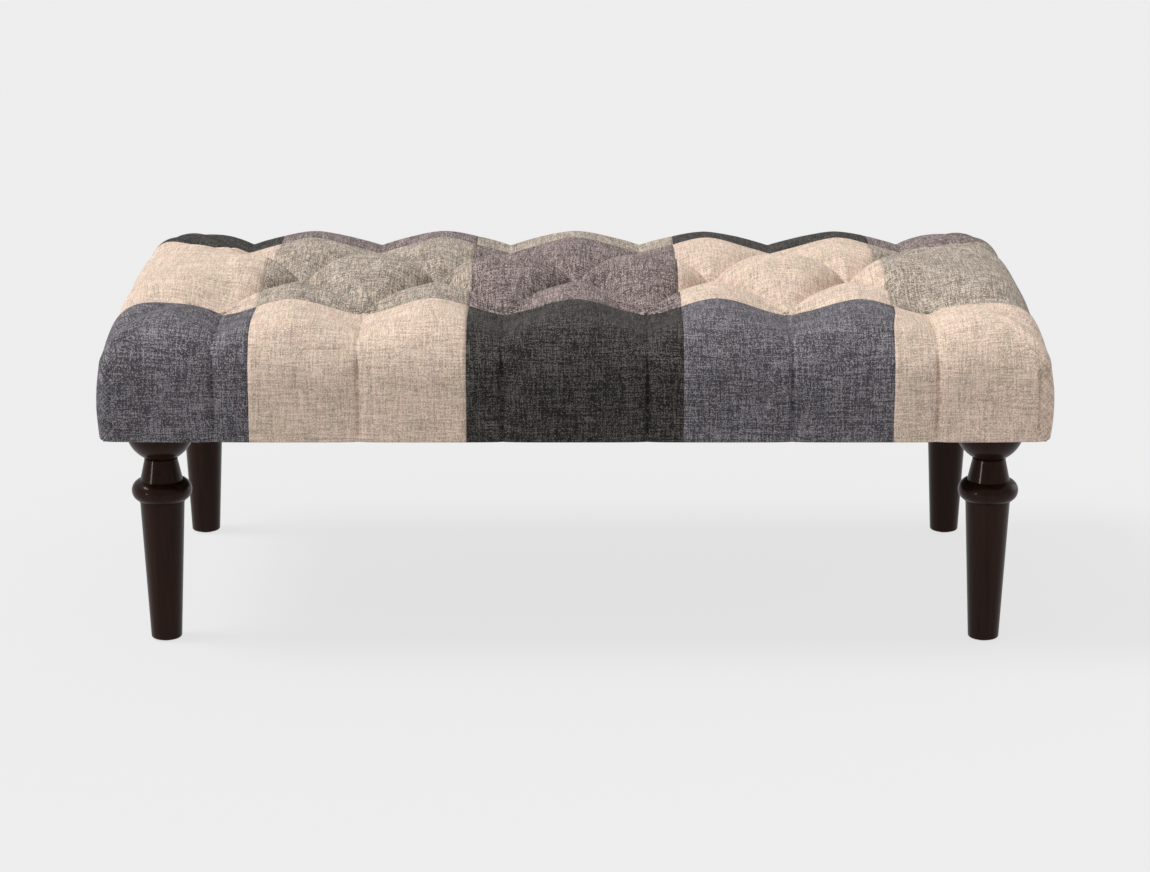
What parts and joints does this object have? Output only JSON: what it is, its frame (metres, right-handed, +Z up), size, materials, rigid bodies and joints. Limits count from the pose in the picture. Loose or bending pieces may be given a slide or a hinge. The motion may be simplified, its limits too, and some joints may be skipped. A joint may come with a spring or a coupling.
{
  "type": "tufted footstool",
  "caption": "Long tufted footstool on turned dark wooden legs: a pleated, padded seat in a patchwork linen cover over a box frame, to sit on or rest the feet.",
  "frame": {"origin": "on the floor under the middle of the seat", "axes": "+X along the seat to the right, +Y from front to back, +Z up"},
  "size_m": [1.2192, 0.635, 0.456],
  "materials": {
    "linen_slate": "slubby linen weave, matt",
    "linen_beige": "slubby linen weave, matt",
    "linen_charcoal": "slubby linen weave, matt",
    "linen_taupe": "slubby linen weave, matt",
    "linen_mauve": "slubby linen weave, matt",
    "leg_wood": "dark espresso stain, satin lacquer",
    "frame_pine": "planed softwood",
    "plywood": "sanded plywood",
    "foam": "open-cell foam",
    "fibre": "white polyester fibre",
    "dust_cloth": "black spun cloth",
    "twine": "waxed twine",
    "zinc_steel": "zinc plated",
    "glide_plastic": "dark nylon",
    "toggle_plastic": "natural nylon"
  },
  "bodies": {
    "root": {"front_rail": "frame_pine", "back_rail": "frame_pine", "left_end_rail": "frame_pine", "right_end_rail": "frame_pine", "left_cross_rail": "frame_pine", "right_cross_rail": "frame_pine", "corner_block_front_left": "frame_pine", "leg_front_left": "leg_wood", "corner_block_front_right": "frame_pine", "leg_front_right": "leg_wood", "corner_block_back_left": "frame_pine", "leg_back_left": "leg_wood", "corner_block_back_right": "frame_pine", "leg_back_right": "leg_wood", "deck_board": "plywood", "foam_pad": "foam", "fibre_wrap": "fibre", "cover_front_1": "linen_slate", "cover_front_2": "linen_beige", "cover_front_3": "linen_charcoal", "cover_front_4": "linen_slate", "cover_front_5": "linen_beige", "cover_top_1": "linen_beige", "cover_top_2": "linen_taupe", "cover_top_3": "linen_mauve", "cover_top_4": "linen_beige", "cover_top_5": "linen_taupe", "cover_back_1": "linen_charcoal", "cover_back_2": "linen_mauve", "cover_back_3": "linen_taupe", "cover_back_4": "linen_charcoal", "cover_back_5": "linen_mauve", "dust_cover": "dust_cloth", "frame_screws": "zinc_steel", "deck_screws": "zinc_steel", "cover_staples": "zinc_steel", "hanger_bolts": "zinc_steel", "t_nuts": "zinc_steel", "foot_glides": "glide_plastic", "tuft_toggles": "toggle_plastic", "tuft_twines": "twine"}
  },
  "joints": []
}
